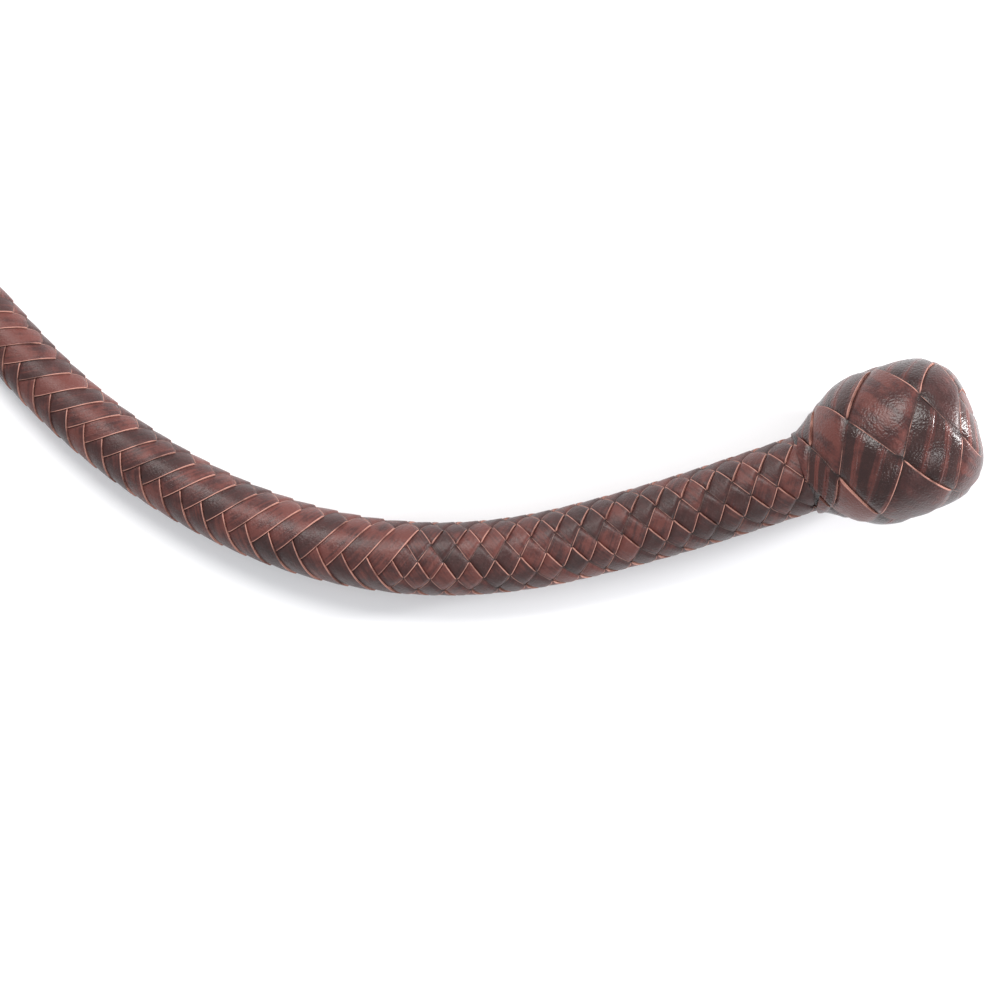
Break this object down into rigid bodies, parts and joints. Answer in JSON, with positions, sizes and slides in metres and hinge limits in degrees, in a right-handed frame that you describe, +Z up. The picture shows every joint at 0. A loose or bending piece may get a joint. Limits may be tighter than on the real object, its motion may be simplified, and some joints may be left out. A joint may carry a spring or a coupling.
{
  "type": "snake whip",
  "caption": "Short limp plaited leather riding whip with a shot-loaded body, a woven ball knob at the heel, a checker-plaited handle, a herringbone thong and a looped-on cracker.",
  "frame": {"origin": "on the ground under the centre of the heel knob", "axes": "+Z up; the handle and thong run from the knob towards -X, lying on the ground, and the unseen end is put away in one turn"},
  "size_m": [0.4927, 0.172, 0.0505],
  "materials": {
    "plait_leather": "waxed, semi-gloss",
    "belly_leather": "matt",
    "bolster_leather": "matt",
    "bag_leather": "matt",
    "lead_shot": "dull",
    "foundation_wood": "turned, raw",
    "waxed_thread": "waxed",
    "cracker_thread": "waxed, twisted"
  },
  "bodies": {
    "handle": {"handle_bolster": "bolster_leather", "handle_inner_belly": "belly_leather", "handle_outer_belly": "belly_leather", "handle_overlay": "plait_leather", "handle_shot": "lead_shot", "handle_shot_bag": "bag_leather", "heel_binding": "waxed_thread", "heel_plug": "foundation_wood", "knob_cover": "plait_leather", "knob_foundation": "foundation_wood"},
    "thong": {"thong_bolster": "bolster_leather", "thong_inner_belly": "belly_leather", "thong_outer_belly": "belly_leather", "thong_overlay": "plait_leather", "thong_shot": "lead_shot", "thong_shot_bag": "bag_leather"},
    "tail": {"point_binding": "waxed_thread", "point_eye": "plait_leather", "tail_bolster": "bolster_leather", "tail_inner_belly": "belly_leather", "tail_outer_belly": "belly_leather", "tail_overlay": "plait_leather", "tail_shot": "lead_shot", "tail_shot_bag": "bag_leather"},
    "cracker": {"cracker_cord": "cracker_thread", "cracker_knot": "cracker_thread", "cracker_loop": "cracker_thread", "cracker_tuft": "cracker_thread", "cracker_whipping": "cracker_thread"}
  },
  "joints": [
    {"name": "thong_bend", "type": "hinge", "parent": "handle", "child": "thong", "pos_m": [-0.17848, -0.0321, 0.01154], "axis": [0, 0, 1], "range_deg": [-20, 20]},
    {"name": "tail_bend", "type": "hinge", "parent": "thong", "child": "tail", "pos_m": [-0.247, 0.002, 0.01051], "axis": [0, 0, 1], "range_deg": [-20, 20]},
    {"name": "cracker_swing", "type": "hinge", "parent": "tail", "child": "cracker", "pos_m": [-0.31625, -0.01295, 0.00353], "axis": [0, 0, 1], "range_deg": [-10, 30]}
  ]
}
